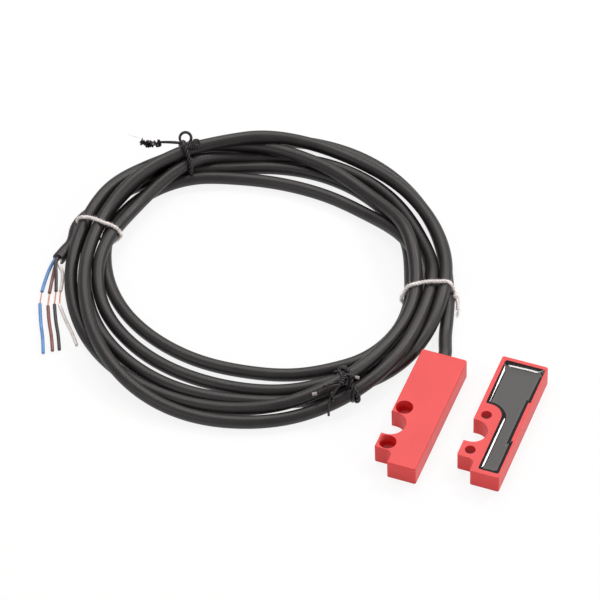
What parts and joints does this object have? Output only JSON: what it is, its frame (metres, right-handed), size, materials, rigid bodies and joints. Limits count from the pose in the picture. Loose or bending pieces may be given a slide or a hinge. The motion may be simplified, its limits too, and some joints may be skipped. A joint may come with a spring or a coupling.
{
  "type": "non contact safety switch",
  "caption": "flat potted reed safety switch with a coiled, stripped cable and its separate coded magnet actuator, both in slim notched screw-on housings",
  "frame": {"origin": "on the axis of the switch's front screw hole, at the level of its back face", "axes": "+Y along the switch's housing to its cable end, +X towards its straight sensing side and the actuator, +Z out of its label face"},
  "size_m": [0.178, 0.1407, 0.0153],
  "materials": {
    "housing_red": "fine satin moulding",
    "potting_black": "glossy cast resin",
    "board_green": "satin",
    "reed_glass": "clear",
    "reed_metal": "satin",
    "magnet_grey": "matt",
    "resistor_black": "matt",
    "solder": "bright",
    "jacket_black": "satin",
    "string_white": "matt",
    "twist_black": "satin",
    "copper": "bright strands",
    "core_blue": "satin",
    "core_brown": "satin",
    "core_black": "satin",
    "core_white": "satin"
  },
  "bodies": {
    "root": {"switch_housing": "housing_red", "switch_potting": "potting_black", "circuit_board": "board_green", "front_reed_switch_glass": "reed_glass", "front_reed_switch_blades": "reed_metal", "rear_reed_switch_glass": "reed_glass", "rear_reed_switch_blades": "reed_metal", "bias_magnet": "magnet_grey", "board_resistor_1": "resistor_black", "board_resistor_2": "resistor_black", "solder_joints": "solder", "inner_core_blue": "core_blue", "inner_core_brown": "core_brown", "inner_core_black": "core_black", "inner_core_white": "core_white", "cable_lead": "jacket_black", "cable_coil": "jacket_black", "cable_tail": "jacket_black", "string_tie_left": "string_white", "string_tie_right": "string_white", "twist_tie_top": "twist_black", "twist_tie_low": "twist_black", "core_blue": "core_blue", "core_brown": "core_brown", "core_black": "core_black", "core_white": "core_white", "copper_blue": "copper", "copper_brown": "copper", "copper_black": "copper", "copper_white": "copper", "loose_sleeve_blue": "core_blue", "loose_sleeve_brown": "core_brown", "loose_sleeve_black": "core_black", "loose_sleeve_white": "core_white", "actuator_housing": "housing_red", "actuator_potting": "potting_black", "front_coded_magnet": "magnet_grey", "middle_coded_magnet": "magnet_grey", "rear_coded_magnet": "magnet_grey"}
  },
  "joints": []
}
